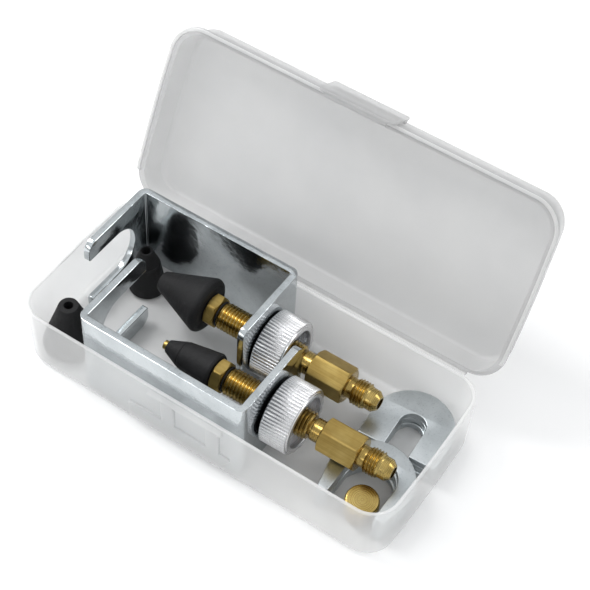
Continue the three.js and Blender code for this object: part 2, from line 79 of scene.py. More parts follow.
STEEL = 3.0
YOKE_LENGTH = 78.5
YOKE_ARM = 39.9
YOKE_HEIGHT = 41.7
YOKE_MIDDLE = 22.35
STEM_FROM_YOKE_FACE = 22.6
BEND_OUTSIDE = 3.8
BEND_RADIUS = BEND_OUTSIDE - STEEL / 2
BEND_ARC = BEND_RADIUS * math.pi / 2
ARM_STRAIGHT = YOKE_ARM - BEND_OUTSIDE
FACE_STRAIGHT = YOKE_LENGTH - 2 * BEND_OUTSIDE

STEM_RADIUS = 5.9
STEM_THREAD_DEPTH = 0.9
FLARE_RADIUS = 5.5
FLARE_THREAD_DEPTH = 0.78
NUT_RADIUS = 14.25
NUT_LENGTH = 12.0
WASHER_THICKNESS = 0.9
WASHER_RADIUS = 12.4
NUT_SKIRT = 0.9
CLEARANCE = 0.3
FLOOR_INSIDE = 1.5

YOKES = {
    "back": {"left": -77.25, "face": 34.95, "arms": -1},
    "front": {"left": -56.2, "face": -34.95, "arms": 1},
}
STEMS = {
    "back": {"y": 12.35, "yaw": 0.0, "nozzle": 30, "coupler": 0},
    "front": {"y": -12.35, "yaw": math.radians(1), "nozzle": 30, "coupler": 30},
}
ARM_FACE_ON_STEM = 21.85

# ------------------------------------------------------------------ materials

ALONG = (0.02, 1, 1)  # draws a noise out into streaks along a piece's own +X


class Paint:
    """A material with one Principled shader, and short names for the nodes that feed it."""

    def __init__(self, name, **sockets):
        self.material = bpy.data.materials.new(name)
        self.material.use_nodes = True
        self.nodes = self.material.node_tree.nodes
        self.links = self.material.node_tree.links
        self.nodes.clear()
        self.shader = self.nodes.new("ShaderNodeBsdfPrincipled")
        output = self.nodes.new("ShaderNodeOutputMaterial")
        self.links.new(self.shader.outputs["BSDF"], output.inputs["Surface"])
        self.where = self.nodes.new("ShaderNodeTexCoord")
        for socket, value in sockets.items():
            self.shader.inputs[socket.replace("_", " ")].default_value = value

    def stretched(self, stretch):
        """Object coordinates scaled along each axis."""
        mapping = self.nodes.new("ShaderNodeMapping")
        mapping.inputs["Scale"].default_value = stretch
        self.links.new(self.where.outputs["Object"], mapping.inputs["Vector"])
        return mapping.outputs["Vector"]

    def turned(self):
        """Along the axis and out from it, so that marks run round a turned piece."""
        split = self.nodes.new("ShaderNodeSeparateXYZ")
        self.links.new(self.where.outputs["Object"], split.inputs["Vector"])
        flat = self.nodes.new("ShaderNodeCombineXYZ")
        self.links.new(split.outputs["Y"], flat.inputs["X"])
        self.links.new(split.outputs["Z"], flat.inputs["Y"])
        length = self.nodes.new("ShaderNodeVectorMath")
        length.operation = "LENGTH"
        self.links.new(flat.outputs["Vector"], length.inputs[0])
        place = self.nodes.new("ShaderNodeCombineXYZ")
        self.links.new(split.outputs["X"], place.inputs["X"])
        self.links.new(length.outputs["Value"], place.inputs["Y"])
        return place.outputs["Vector"]

    def noise(self, scale, detail=3.0, stretch=(1, 1, 1), roughness=0.55, distortion=0.0, vector=None):
        """Noise whose features are about 1/scale metres across."""
        node = self.nodes.new("ShaderNodeTexNoise")
        node.inputs["Scale"].default_value = scale
        node.inputs["Detail"].default_value = detail
        node.inputs["Roughness"].default_value = roughness
        node.inputs["Distortion"].default_value = distortion
        self.links.new(vector or self.stretched(stretch), node.inputs["Vector"])
        return node.outputs["Fac"]

    def ramp(self, factor, stops):
        """Colours by factor, from rows of (position, colour)."""
        node = self.nodes.new("ShaderNodeValToRGB")
        elements = node.color_ramp.elements
        while len(elements) < len(stops):
            elements.new(0.5)
        for element, (position, colour) in zip(elements, stops):
            element.position = position
            element.color = (*colour, 1.0)
        self.links.new(factor, node.inputs["Fac"])
        return node.outputs["Color"]

    def spread(self, factor, low, high, start=0.3, end=0.7):
        """Maps the useful middle of a noise to a range."""
        node = self.nodes.new("ShaderNodeMapRange")
        node.inputs["From Min"].default_value = start
        node.inputs["From Max"].default_value = end
        node.inputs["To Min"].default_value = low
        node.inputs["To Max"].default_value = high
        self.links.new(factor, node.inputs["Value"])
        return node.outputs["Result"]

    def multiplied(self, share, first, second):
        """The first colour darkened by a share of the second."""
        node = self.nodes.new("ShaderNodeMix")
        node.data_type = "RGBA"
        node.blend_type = "MULTIPLY"
        node.inputs["Factor"].default_value = share
        self.links.new(first, node.inputs["A"])
        self.links.new(second, node.inputs["B"])
        return node.outputs["Result"]

    def add(self, first, second):
        node = self.nodes.new("ShaderNodeMath")
        node.operation = "ADD"
        self.links.new(first, node.inputs[0])
        self.links.new(second, node.inputs[1])
        return node.outputs["Value"]

    def bumped(self, height, distance):
        """Raises the surface by height times a distance in metres."""
        node = self.nodes.new("ShaderNodeBump")
        node.inputs["Strength"].default_value = 1.0
        node.inputs["Distance"].default_value = distance
        self.links.new(height, node.inputs["Height"])
        self.links.new(node.outputs["Normal"], self.shader.inputs["Normal"])

    def feed(self, socket, value):
        self.links.new(value, self.shader.inputs[socket])


def clear_plastic(name, alpha, tone):
    """Milky plastic, its colour clouded a little lighter and darker than the tone."""
    paint = Paint(name, IOR=1.49, Alpha=alpha, Specular_IOR_Level=0.5)
    cloud = paint.noise(28, 2)
    dark = (tone * 0.95, tone * 0.955, tone * 0.955)
    light = (tone * 1.05, tone * 1.05, tone * 1.04)
    paint.feed("Base Color", paint.ramp(cloud, [(0.3, dark), (0.7, light)]))
    grain = paint.noise(2600, 2)
    haze = paint.noise(40, 2)
    paint.feed("Roughness", paint.spread(haze, 0.30, 0.38))
    paint.bumped(paint.add(grain, paint.spread(cloud, 0, 6)), 0.00002)
    return paint.material


def zinc_plate(name, gloss, relief):
    """Plated steel with soft blotches and fine dark specks. gloss is its range of roughness."""
    paint = Paint(name, Metallic=1.0)
    blotch = paint.noise(55, 4, (1, 1, 1), 0.6, 0.6)
    specks = paint.noise(1500, 2)
    greys = [(0.3, (0.44, 0.475, 0.49)), (0.5, (0.54, 0.575, 0.59)), (0.7, (0.62, 0.655, 0.67))]
    cool = paint.ramp(blotch, greys)
    dust = paint.ramp(specks, [(0.30, (0.72, 0.73, 0.75)), (0.42, (1.0, 1.0, 1.0))])
    paint.feed("Base Color", paint.multiplied(0.7, cool, dust))
    paint.feed("Roughness", paint.spread(paint.noise(90, 4), *gloss))
    paint.bumped(paint.add(paint.spread(paint.noise(70, 3), 0, 8), specks), relief)
    return paint.material


def brass(name, drawn, gloss):
    """Brass, either drawn, with streaks along the piece, or turned, with rings round it."""
    paint = Paint(name, Metallic=1.0)
    tone = paint.noise(120, 3)
    if drawn:
        lines = paint.noise(1500, 3, ALONG, 0.7)
        wear = 0.7
        relief = 0.00002
    else:
        lines = paint.noise(5200, 1, vector=paint.turned())
        wear = 0.2
        relief = 0.000003
    golds = [(0.3, (0.33, 0.225, 0.066)), (0.55, (0.42, 0.305, 0.10)), (0.75, (0.49, 0.37, 0.135))]
    gold = paint.ramp(tone, golds)
    worn = paint.ramp(lines, [(0.35, (0.70, 0.67, 0.62)), (0.6, (1.0, 1.0, 1.0))])
    paint.feed("Base Color", paint.multiplied(wear, gold, worn))
    paint.feed("Roughness", paint.spread(lines, *gloss))
    paint.bumped(lines, relief)
    return paint.material


def aluminium(name):
    paint = Paint(name, Metallic=1.0)
    tone = paint.noise(160, 3)
    rings = paint.noise(3600, 0, vector=paint.turned())
    paint.feed("Base Color", paint.ramp(tone, [(0.3, (0.66, 0.66, 0.67)), (0.7, (0.76, 0.76, 0.77))]))
    paint.feed("Roughness", paint.spread(rings, 0.24, 0.38))
    paint.bumped(rings, 0.000002)
    return paint.material


def rubber(name):
    paint = Paint(name, Specular_IOR_Level=0.24)
    scuff = paint.noise(220, 6, (1, 1, 1), 0.7)
    grain = paint.noise(3200, 3)
    blacks = [(0.35, (0.009, 0.009, 0.0095)), (0.62, (0.015, 0.015, 0.016)), (0.8, (0.045, 0.045, 0.046))]
    paint.feed("Base Color", paint.ramp(scuff, blacks))
    paint.feed("Roughness", paint.spread(scuff, 0.50, 0.75))
    paint.bumped(paint.add(grain, paint.spread(scuff, 0, 3)), 0.00005)
    return paint.material


def pale_floor(name):
    paint = Paint(name)
    soft = paint.noise(3, 2)
    paint.feed("Base Color", paint.ramp(soft, [(0.3, (0.90, 0.90, 0.90)), (0.7, (0.93, 0.93, 0.93))]))
    paint.feed("Roughness", paint.spread(soft, 0.7, 0.8))
    return paint.material


MATERIALS = {
    # Painted light: the base's plastic is the lid's plastic toned lighter, to lift the shade inside the
    # box.
    "base_plastic_painted_light": clear_plastic("milky_plastic_base_painted_light", 0.34, 0.88),
    "relief_plastic": clear_plastic("milky_plastic_relief", 0.44, 0.72),
    # Painted shade: the lid's plastic is the base's plastic toned darker.
    "lid_plastic_painted_shade": clear_plastic("milky_plastic_lid_painted_shade", 0.50, 0.50),
    "rim_plastic": clear_plastic("milky_plastic_rim", 0.62, 0.72),
    "zinc": zinc_plate("zinc_plate_bright", (0.10, 0.20), 0.00002),
    "zinc_stamped": zinc_plate("zinc_plate_stamped", (0.34, 0.46), 0.000012),
    "brass_turned": brass("brass_turned", False, (0.16, 0.32)),
    "brass_drawn": brass("brass_drawn", True, (0.30, 0.50)),
    "aluminium": aluminium("aluminium_turned"),
    "rubber": rubber("rubber_black"),
    "floor": pale_floor("studio_floor"),
}

# ------------------------------------------------------------------ mesh helpers


def finish_mesh(name, shape, materials, body, nodes, place=None, sharp=32):
    """Makes one piece from a bmesh in millimetres, places it and ties it to the frame."""
    bmesh.ops.remove_doubles(shape, verts=shape.verts, dist=0.0005)
    bmesh.ops.dissolve_degenerate(shape, edges=shape.edges, dist=0.0002)
    bmesh.ops.recalc_face_normals(shape, faces=shape.faces)
    mesh = bpy.data.meshes.new(name)
    shape.to_mesh(mesh)
    shape.free()
    mesh.transform(Matrix.Scale(MM, 4))
    for material in materials:
        mesh.materials.append(MATERIALS[material])
    mesh.shade_smooth()
    mesh.set_sharp_from_angle(angle=math.radians(sharp))
    piece = bpy.data.objects.new(name, mesh)
    scene.collection.objects.link(piece)
    if place is not None:
        placed = place.copy()
        placed.translation = place.translation * MM
        piece.matrix_world = placed
    bpy.context.view_layer.update()
    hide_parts(*nodes)
    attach(piece, body)
    return piece


def rounded(corners, closed=False, steps=4):
    """A 2-D path with an arc at each corner that gives a third number, its radius."""
    path = []
    count = len(corners)
    for i, corner in enumerate(corners):
        here = Vector(corner[:2])
        radius = corner[2] if len(corner) > 2 else 0
        if radius == 0 or (not closed and i in (0, count - 1)):
            path.append(tuple(here))
            continue
        before = (Vector(corners[i - 1][:2]) - here).normalized()
        after = (Vector(corners[(i + 1) % count][:2]) - here).normalized()
        half = before.angle(after) / 2
        reach = radius / math.tan(half)
        centre = here + (before + after).normalized() * (radius / math.sin(half))
        first = here + before * reach - centre
        last = here + after * reach - centre
        sweep = first.angle_signed(last)
        for step in range(steps + 1):
            angle = -sweep * step / steps
            path.append(tuple(centre + Matrix.Rotation(angle, 2) @ first))
    return path


def arc(radius, start, sweep, steps, centre=(0, 0)):
    """The points of an arc in 2-D, both ends included."""
    points = []
    for step in range(steps + 1):
        angle = start + sweep * step / steps
        points.append((centre[0] + radius * math.cos(angle), centre[1] + radius * math.sin(angle)))
    return points


def lathe(shape, profile, segments, closed=False):
    """Skins a profile of (x, radius) or (x, radius, form) rows round +X.

    form(angle, radius) gives the radius of a ring that isn't round.
    """
    rings = []
    for row in profile:
        x, radius = row[:2]
        if radius < 1e-6:
            rings.append([shape.verts.new((x, 0, 0))])
            continue
        ring = []
        for i in range(segments):
            angle = 2 * math.pi * i / segments
            r = row[2](angle, radius) if len(row) > 2 else radius
            ring.append(shape.verts.new((x, r * math.cos(angle), r * math.sin(angle))))
        rings.append(ring)
    pairs = list(zip(rings, rings[1:]))
    if closed:
        pairs.append((rings[-1], rings[0]))
    for first, second in pairs:
        bridge(shape, first, second)


def bridge(shape, first, second):
    """Faces between two rings of vertices, one of which may be a single point."""
    count = max(len(first), len(second))
    if count == 1:
        return
    for i in range(count):
        j = (i + 1) % count
        if len(first) == 1:
            shape.faces.new((first[0], second[j], second[i]))
        elif len(second) == 1:
            shape.faces.new((first[i], first[j], second[0]))
        else:
            shape.faces.new((first[i], first[j], second[j], second[i]))


# One pitch of a thread: where along the pitch, and how far up from root to crest.
THREAD_FORM = [
    (0.0, 0.92),
    (0.06, 1.0),
    (0.13, 0.97),
    (0.24, 0.6),
    (0.42, 0.08),
    (0.5, 0.0),
    (0.64, 0.02),
    (0.86, 0.6),
]


def thread(shape, start, end, crest, depth, pitch, segments, start_radius, end_radius, inward=False):
    """A helical thread between two rings. It is trimmed by a 45 degree chamfer at each end."""
    turns = math.ceil((end - start) / pitch) + 1
    rows = []
    side = -1 if inward else 1
    for turn in range(-1, turns):
        for share, height in THREAD_FORM:
            row = []
            for i in range(segments + 1):
                x = start + pitch * (turn + share + i / segments)
                held = min(max(x, start), end)
                radius = crest - side * depth * (1 - height)
                radius = side * min(
                    side * radius,
                    side * start_radius + (held - start),
                    side * end_radius + (end - held),
                )
                angle = 2 * math.pi * i / segments
                row.append(shape.verts.new((held, radius * math.cos(angle), radius * math.sin(angle))))
            rows.append(row)
    for lower, upper in zip(rows, rows[1:]):
        for i in range(segments):
            shape.faces.new((lower[i], lower[i + 1], upper[i + 1], upper[i]))


def hexagon(across_flats, turn_degrees):
    """The form of a hexagonal ring, with two flats facing +Y and -Y before the turn."""
    turn = math.radians(turn_degrees)
    sixth = math.pi / 3

    def form(angle, radius):
        off_flat = (angle - turn + sixth / 2) % sixth - sixth / 2
        return min(radius, across_flats / 2 / math.cos(off_flat))

    return form


def hex_rows(x0, x1, across_flats, turn):
    """The rows of a hexagon whose ends are turned to a cone."""
    form = hexagon(across_flats, turn)
    corner = across_flats / math.sqrt(3) - 0.12
    chamfer = 0.75
    flat = across_flats / 2 - 0.25
    inner = flat - 0.6
    steps = 6
    rows = [(x0, inner), (x0, flat)]
    for step in range(1, steps + 1):
        share = step / steps
        rows.append((x0 + chamfer * share, flat + (corner - flat) * share, form))
    for step in range(steps, 0, -1):
        share = step / steps
        rows.append((x1 - chamfer * share, flat + (corner - flat) * share, form))
    return rows + [(x1, flat), (x1, inner)]


def ribs(count, depth, width):
    """The form of a straight knurl: ribs with flat backs and V grooves. A wider rib narrows the groove."""

    def form(angle, radius):
        wave = min(1.0, width * abs(math.sin(angle * count / 2)))
        return radius - depth * (1 - wave)

    return form


def plate(outlines, thickness, bevel):
    """A flat plate on z = 0 from closed outlines, the first outside and the others holes."""
    curve = bpy.data.curves.new("outline", "CURVE")
    curve.dimensions = "2D"
    curve.fill_mode = "BOTH"
    curve.extrude = thickness / 2 - bevel
    curve.bevel_depth = bevel
    curve.bevel_resolution = 2
    curve.offset = -bevel
    for outline in outlines:
        spline = curve.splines.new("POLY")
        spline.points.add(len(outline) - 1)
        for point, (x, y) in zip(spline.points, outline):
            point.co = (x, y, 0, 1)
        spline.use_cyclic_u = True
    holder = bpy.data.objects.new("outline", curve)
    mesh = bpy.data.meshes.new_from_object(holder)
    shape = bmesh.new()
    shape.from_mesh(mesh)
    bpy.data.objects.remove(holder)
    bpy.data.curves.remove(curve)
    bpy.data.meshes.remove(mesh)
    bmesh.ops.remove_doubles(shape, verts=shape.verts, dist=0.001)
    bmesh.ops.translate(shape, verts=shape.verts, vec=(0, 0, thickness / 2))
    return shape


def combine(target, tool, operation):
    """Joins or cuts one closed bmesh with another, and returns the result."""
    holders = []
    for shape in (target, tool):
        bmesh.ops.recalc_face_normals(shape, faces=shape.faces)
        mesh = bpy.data.meshes.new("part")
        shape.to_mesh(mesh)
        shape.free()
        holder = bpy.data.objects.new("part", mesh)
        scene.collection.objects.link(holder)
        holders.append(holder)
    modifier = holders[0].modifiers.new("combine", "BOOLEAN")
    modifier.operation = operation
    modifier.solver = "EXACT"
    modifier.object = holders[1]
    graph = bpy.context.evaluated_depsgraph_get()
    result = bmesh.new()
    result.from_object(holders[0], graph)
    for holder in holders:
        mesh = holder.data
        bpy.data.objects.remove(holder)
        bpy.data.meshes.remove(mesh)
    return result


def soft_block(low, high, bevel):
    """A box, with rounded edges unless the bevel is 0."""
    shape = bmesh.new()
    size = Vector(high) - Vector(low)
    middle = (Vector(high) + Vector(low)) / 2
    bmesh.ops.create_cube(shape, size=1, matrix=Matrix.Translation(middle) @ Matrix.Diagonal((*size, 1)))
    if bevel:
        bmesh.ops.bevel(shape, geom=shape.edges[:], offset=bevel, segments=2, affect="EDGES", profile=0.5)
    return shape


# ------------------------------------------------------------------ the case

CORNER_STEPS = 14
LONG_STEPS = 10
SHORT_STEPS = 14
FLOOR_INSET = 9.0  # from here inwards a tray's floor is flat


def tray_ring(z, half_length, front, back, corner):
    """One level of a tray: a rounded rectangle whose short sides bow out."""
    middle = (front + back) / 2
    half_width = (back - front) / 2
    corners = [
        (half_length - corner, back - corner, 0),
        (-half_length + corner, back - corner, 1),
        (-half_length + corner, front + corner, 2),
        (half_length - corner, front + corner, 3),
    ]
    points = []
    for cx, cy, quarter in corners:
        for step in range(CORNER_STEPS + 1):
            angle = (quarter + step / CORNER_STEPS) * math.pi / 2
            points.append(Vector((cx + corner * math.cos(angle), cy + corner * math.sin(angle), z)))
        following = corners[(quarter + 1) % 4]
        start = points[-1].copy()
        turn = (quarter + 1) * math.pi / 2
        end = Vector((following[0] + corner * math.cos(turn), following[1] + corner * math.sin(turn), z))
        steps = LONG_STEPS if quarter % 2 == 0 else SHORT_STEPS
        for step in range(1, steps):
            points.append(start.lerp(end, step / steps))
    for point in points:
        across = (point.y - middle) / half_width
        point.x += math.copysign(CASE_BOW * (1 - across * across), point.x)
    return points


def skin(levels):
    """A closed shell over rings, capped at its first and last ring."""
    shape = bmesh.new()
    rings = [[shape.verts.new(point) for point in level] for level in levels]
    for lower, upper in zip(rings, rings[1:]):
        bridge(shape, lower, upper)
    for ring in (rings[0], rings[-1]):
        middle = sum((vert.co for vert in ring), Vector()) / len(ring)
        centre = shape.verts.new(middle)
        inner = [shape.verts.new(middle.lerp(vert.co, 0.75)) for vert in ring]
        bridge(shape, ring, inner)
        for i, vert in enumerate(inner):
            shape.faces.new((centre, vert, inner[(i + 1) % len(inner)]))
    return shape


def base_level(z, inset):
    """One level of the base, narrower towards its floor."""
    draft = CASE_DRAFT * (1 - z / CASE_HEIGHT)
    return tray_ring(
        z,
        CASE_LENGTH / 2 - CASE_BOW - inset - draft,
        -CASE_WIDTH / 2 + inset + draft,
        CASE_WIDTH / 2 - inset - draft,
        CASE_CORNER - inset * 0.6,
    )


RELIEF_THICKNESS = 1.5
RELIEF_SUNK = 0.6
RELIEF_CORNER = 1.4
# Left end, right end along the bottom, right end along the top, bottom and top of each low pad.
RELIEF_PADS = [
    (-30, 14, 20, 4.2, 13.6),
    (-13.8, -7.3, -7.3, 12.4, 26.2),
    (7.5, 13.9, 13.9, 12.4, 26.2),
]


def front_relief(x0, x1, x1_top, z0, z1):
    """A low pad moulded on the base's front wall."""
    corners = [(x0, z0), (x1, z0), (x1_top, z1), (x0, z1)]
    outline = rounded([(*corner, RELIEF_CORNER) for corner in corners], True)
    pad = plate([outline], RELIEF_THICKNESS, 0.5)
    wall = -CASE_WIDTH / 2 + CASE_DRAFT * (1 - (z0 + z1) / 2 / CASE_HEIGHT)
    tilt = math.atan(CASE_DRAFT / CASE_HEIGHT)
    middle = Vector(((x0 + x1_top) / 2, (z0 + z1) / 2, 0))
    bmesh.ops.translate(pad, verts=pad.verts, vec=-middle)
    turn = Matrix.Rotation(math.pi / 2 + tilt, 4, "X")
    spot = Matrix.Translation((middle.x, wall + RELIEF_SUNK, middle.y))
    bmesh.ops.transform(pad, verts=pad.verts, matrix=spot @ turn)
    return pad


def case_base():
    """The open box, with its front relief, its catch and the hinge's flange."""
    wall = CASE_WALL
    path = [
        (0, FLOOR_INSET),
        (0, 0, 3),
        (CASE_HEIGHT, 0, 0.55),
        (CASE_HEIGHT, wall, 0.55),
        (wall, wall, 1.2),
        (wall, FLOOR_INSET),
    ]
    shape = skin([base_level(z, inset) for z, inset in rounded(path, steps=6)])
    for pad in RELIEF_PADS:
        shape = combine(shape, front_relief(*pad), "UNION")
    shape = combine(shape, catch_bead(), "UNION")
    half = HINGE_LENGTH / 2
    flange = soft_block((-half, HINGE_Y - 1.5, HINGE_Z - 0.5), (half, HINGE_Y - 0.3, HINGE_Z + 0.5), 0.25)
    shape = combine(shape, flange, "UNION")
    shell = finish_mesh(
        "case_shell",
        shape,
        ["base_plastic_painted_light", "rim_plastic", "relief_plastic"],
        "case",
        ["case_base"],
    )
    rim_depth = 0.45
    proud = 0.12
    for face in shell.data.polygons:
        y = face.center.y / MM
        z = face.center.z / MM
        front_wall = -CASE_WIDTH / 2 + CASE_DRAFT * (1 - z / CASE_HEIGHT)
        if z > CASE_HEIGHT - rim_depth:
            face.material_index = 1
        elif y < front_wall - proud:
            face.material_index = 2


def catch_bead():
    """The wedge that the latch hooks under, flat below and sloping above."""
    wall = -CASE_WIDTH / 2
    inside = wall + 0.5
    lip = wall - 1.15
    bottom = CASE_HEIGHT - 4
    top = bottom + 2.6
    section = rounded(
        [(inside, bottom), (lip, bottom, 0.2), (lip, bottom + 0.7, 0.3), (wall + 0.05, top), (inside, top)],
        True,
    )
    shape = bmesh.new()
    ends = []
    for x in (-LATCH_WIDTH / 2, LATCH_WIDTH / 2):
        ends.append([shape.verts.new((x + LATCH_MIDDLE, y, z)) for y, z in section])
    bridge(shape, *ends)
    for end in ends:
        shape.faces.new(end)
    return shape


def lid_level(z, inset, back_inset):
    """One level of the lid, whose side at the hinge has an inset of its own."""
    return tray_ring(
        z,
        LID_HALF_LENGTH - CASE_BOW - inset,
        -LID_FRONT + inset,
        -LID_BACK - back_inset,
        LID_CORNER - inset * 0.6,
    )


def lid_place():
    """The hinge's axis, with the lid open."""
    return Matrix.Translation((0, HINGE_Y, HINGE_Z)) @ Matrix.Rotation(-LID_OPEN, 4, "X")


def case_lid():
    """The lid in its closed place, measured from the hinge's axis."""
    ceiling = LID_DEPTH - CASE_WALL
    wall = CASE_WALL
    inner = rounded(
        [(ceiling, FLOOR_INSET), (ceiling, wall, 1.6), (LID_LEDGE, wall, 0.3), (LID_LEDGE, wall - 1.2)],
        steps=6,
    )
    outer = rounded(
        [(LID_SKIRT, -1.2), (LID_SKIRT, 0, 0.5), (LID_DEPTH, 0, 2.6), (LID_DEPTH, FLOOR_INSET)],
        steps=6,
    )

    def upper(z, inset):
        drawn = inset + LID_TAPER * z / LID_DEPTH
        return lid_level(z, LID_STEP_IN + drawn, max(drawn, 0))

    skirt = rounded(
        [(LID_LEDGE, wall), (0, wall, 0.4), (0, 0, 0.4), (LID_SKIRT, 0, 0.6), (LID_SKIRT, 0.8)],
        steps=4,
    )
    levels = [upper(z, inset) for z, inset in inner[:-1]]
    levels += [lid_level(z, inset, inset) for z, inset in skirt]
    levels += [upper(z, inset) for z, inset in outer[1:]]
    shape = skin(levels)
    hinge_gap = soft_block((-100, -CASE_CORNER, -2), (100, 6, LID_LEDGE), 0)
    shape = combine(shape, hinge_gap, "DIFFERENCE")
    half = HINGE_LENGTH / 2
    flange = soft_block((-half, -LID_BACK - 1, LID_LEDGE), (half, 0.6, LID_SKIRT), 0.25)
    web = soft_block((-half, -0.45, 0.95), (half, 0.55, LID_LEDGE + 0.4), 0.2)
    shape = combine(combine(shape, flange, "UNION"), web, "UNION")
    shell = finish_mesh(
        "lid_shell",
        shape,
        ["lid_plastic_painted_shade", "rim_plastic"],
        "lid",
        ["case_lid"],
        lid_place(),
    )
    rim_depth = 0.25
    for face in shell.data.polygons:
        if face.center.z / MM < rim_depth:
            face.material_index = 1


def hinge_bead():
    """The flexible web, moulded as a fine bead along the hinge's axis."""
    half = HINGE_LENGTH / 2
    radius = 0.95
    shape = bmesh.new()
    lathe(shape, rounded([(-half, 0), (-half, radius, 0.3), (half, radius, 0.3), (half, 0)]), 24)
    place = Matrix.Translation((0, HINGE_Y, HINGE_Z))
    finish_mesh("hinge_web", shape, ["base_plastic_painted_light"], "case", ["living_hinge"], place)


def latch_tab():
    """The latch in its closed place, measured from the lid's hinge."""
    half = LATCH_WIDTH / 2
    bottom = LATCH_TOP - LATCH_HEIGHT
    rib_back = -77.9
    hook_back = -78.5
    corners = [(-half, LATCH_TOP, 1), (-half, bottom, 3), (half, bottom, 3), (half, LATCH_TOP, 1)]
    shape = plate([rounded(corners, True, 6)], LATCH_THICKNESS, 0.35)
    near = LID_FRONT + CLEARANCE
    turn = Matrix.Translation((LATCH_MIDDLE, -near, 0)) @ Matrix.Rotation(math.pi / 2, 4, "X")
    bmesh.ops.transform(shape, verts=shape.verts, matrix=turn)
    left = LATCH_MIDDLE - half
    right = LATCH_MIDDLE + half
    rib_top = LATCH_TOP - 0.2
    rib = soft_block((left + 0.6, -near - 0.5, rib_top - 1.9), (right - 0.6, rib_back, rib_top), 0.2)
    hook = soft_block((left + 3, -near - 0.6, bottom + 0.15), (right - 3, hook_back, bottom + 1.1), 0.2)
    shape = combine(combine(shape, rib, "UNION"), hook, "UNION")
    finish_mesh("latch_flap", shape, ["lid_plastic_painted_shade"], "latch", ["latch_tab"], lid_place())


# ------------------------------------------------------------------ steel pieces


def bend_yoke(point):
    """Takes a point of the flat strip (along, across, up through the steel) to the bent yoke."""
    along, across, depth = point
    out = BEND_OUTSIDE - depth
    first_bend = ARM_STRAIGHT
    face_start = first_bend + BEND_ARC
    second_bend = face_start + FACE_STRAIGHT
    second_arm = second_bend + BEND_ARC
    if along <= first_bend:
        return Vector((depth, along - YOKE_ARM, across))
    if along <= face_start:
        turn = (along - first_bend) / BEND_RADIUS
        return Vector((BEND_OUTSIDE - out * math.cos(turn), -BEND_OUTSIDE + out * math.sin(turn), across))
    if along <= second_bend:
        return Vector((BEND_OUTSIDE + along - face_start, -depth, across))
    if along <= second_arm:
        turn = (along - second_bend) / BEND_RADIUS
        right = YOKE_LENGTH - BEND_OUTSIDE
        return Vector((right + out * math.sin(turn), -BEND_OUTSIDE + out * math.cos(turn), across))
    return Vector((YOKE_LENGTH - depth, -BEND_OUTSIDE - (along - second_arm), across))


def yoke_strip():
    """The yoke before it is bent, with a slot in one arm and a hole in the other, cut up where it bends."""
    length = 2 * (ARM_STRAIGHT + BEND_ARC) + FACE_STRAIGHT
    half = YOKE_HEIGHT / 2
    slot = 11.85
    slot_end = 29.2
    outline = rounded(
        [
            (0, half, 5),
            (0, slot, 0.7),
            (slot_end, slot, slot - 0.01),
            (slot_end, -slot, slot - 0.01),
            (0, -slot, 0.7),
            (0, -half, 5),
            (length, -half, 4),
            (length, half, 4),
        ],
        True,
        16,
    )
    hole_at = length - (YOKE_ARM - STEM_FROM_YOKE_FACE)
    hole = arc(6.3, 0, -2 * math.pi, 48, (hole_at, 0))[:-1]
    shape = plate([outline, hole], STEEL, 0.35)
    steps = 10
    for start in (ARM_STRAIGHT, ARM_STRAIGHT + BEND_ARC + FACE_STRAIGHT):
        for step in range(steps + 1):
            bmesh.ops.bisect_plane(
                shape,
                geom=shape.verts[:] + shape.edges[:] + shape.faces[:],
                plane_co=(start + BEND_ARC * step / steps, 0, 0),
                plane_no=(1, 0, 0),
            )
    return shape


def yoke(side):
    shape = yoke_strip()
    for vert in shape.verts:
        vert.co = bend_yoke(vert.co)
    place = YOKES[side]
    turn = Matrix.Rotation(math.pi if place["arms"] > 0 else 0, 4, "X")
    matrix = Matrix.Translation((place["left"], place["face"], YOKE_MIDDLE)) @ turn
    finish_mesh(
        f"{side}_yoke_plate",
        shape,
        ["zinc"],
        f"{side}_yoke",
        [f"yoke_{side}"],
        matrix,
        24,
    )


def slotted_outline(radius, leg, slot, draw):
    """A horseshoe: round at the top, its slot open at the bottom, its legs drawn in by some degrees."""
    half = slot / 2
    angle = math.radians(draw)
    leg_end = radius * math.cos(angle) - (leg - radius * math.sin(angle)) * math.tan(angle)
    corners = [(-leg_end, -leg, 0.7), (-half, -leg, 0.7)]
    corners += arc(half, math.pi, -math.pi, 32)
    corners += [(half, -leg, 0.7), (leg_end, -leg, 0.7)]
    corners += arc(radius, -angle, math.pi + 2 * angle, 56)
    return rounded(corners, True)


# form: radius, leg, slot and draw. lies: each plate's shift and its turn in degrees, from the floor up.
PLATE_STACKS = {
    "narrow": {
        "form": (17, 13.9, 11.1, 0),
        "at": (66.8, 18.5),
        "lies": [(-0.6, -0.5, 2), (-0.2, 0.1, 2.5), (0, 0, 3.5)],
    },
    "wide": {
        "form": (17.4, 14.4, 20.8, 12),
        "at": (67.3, -13.5),
        "lies": [(-0.9, -0.4, 0.5), (-0.2, 0, -0.5), (-0.5, -0.3, 0), (0, 0, 0)],
    },
}


def plate_stack(kind):
    """Slotted plates lying on one another on the case's floor."""
    stack = PLATE_STACKS[kind]
    for level, (dx, dy, turn) in enumerate(stack["lies"]):
        shape = plate([slotted_outline(*stack["form"])], STEEL, 0.3)
        x, y = stack["at"]
        spot = Matrix.Translation((x + dx, y + dy, FLOOR_INSIDE + level * (STEEL + CLEARANCE)))
        node = f"slotted_plate_{kind}_{level + 1}"
        finish_mesh(
            f"{kind}_reducer_{level + 1}",
            shape,
            ["zinc_stamped"],
            f"{kind}_plate_{level + 1}",
            [node],
            spot @ Matrix.Rotation(math.radians(turn), 4, "Z"),
        )


# ------------------------------------------------------------------ pieces on a stem

STEM_PITCH = 1.5
FLARE_PITCH = 1.27
THREAD_END = 38.5
SPIGOT_RADIUS = 3.4
HEX_START = -5.8
HEX_END = -1.0
NUT_RIBS = 60


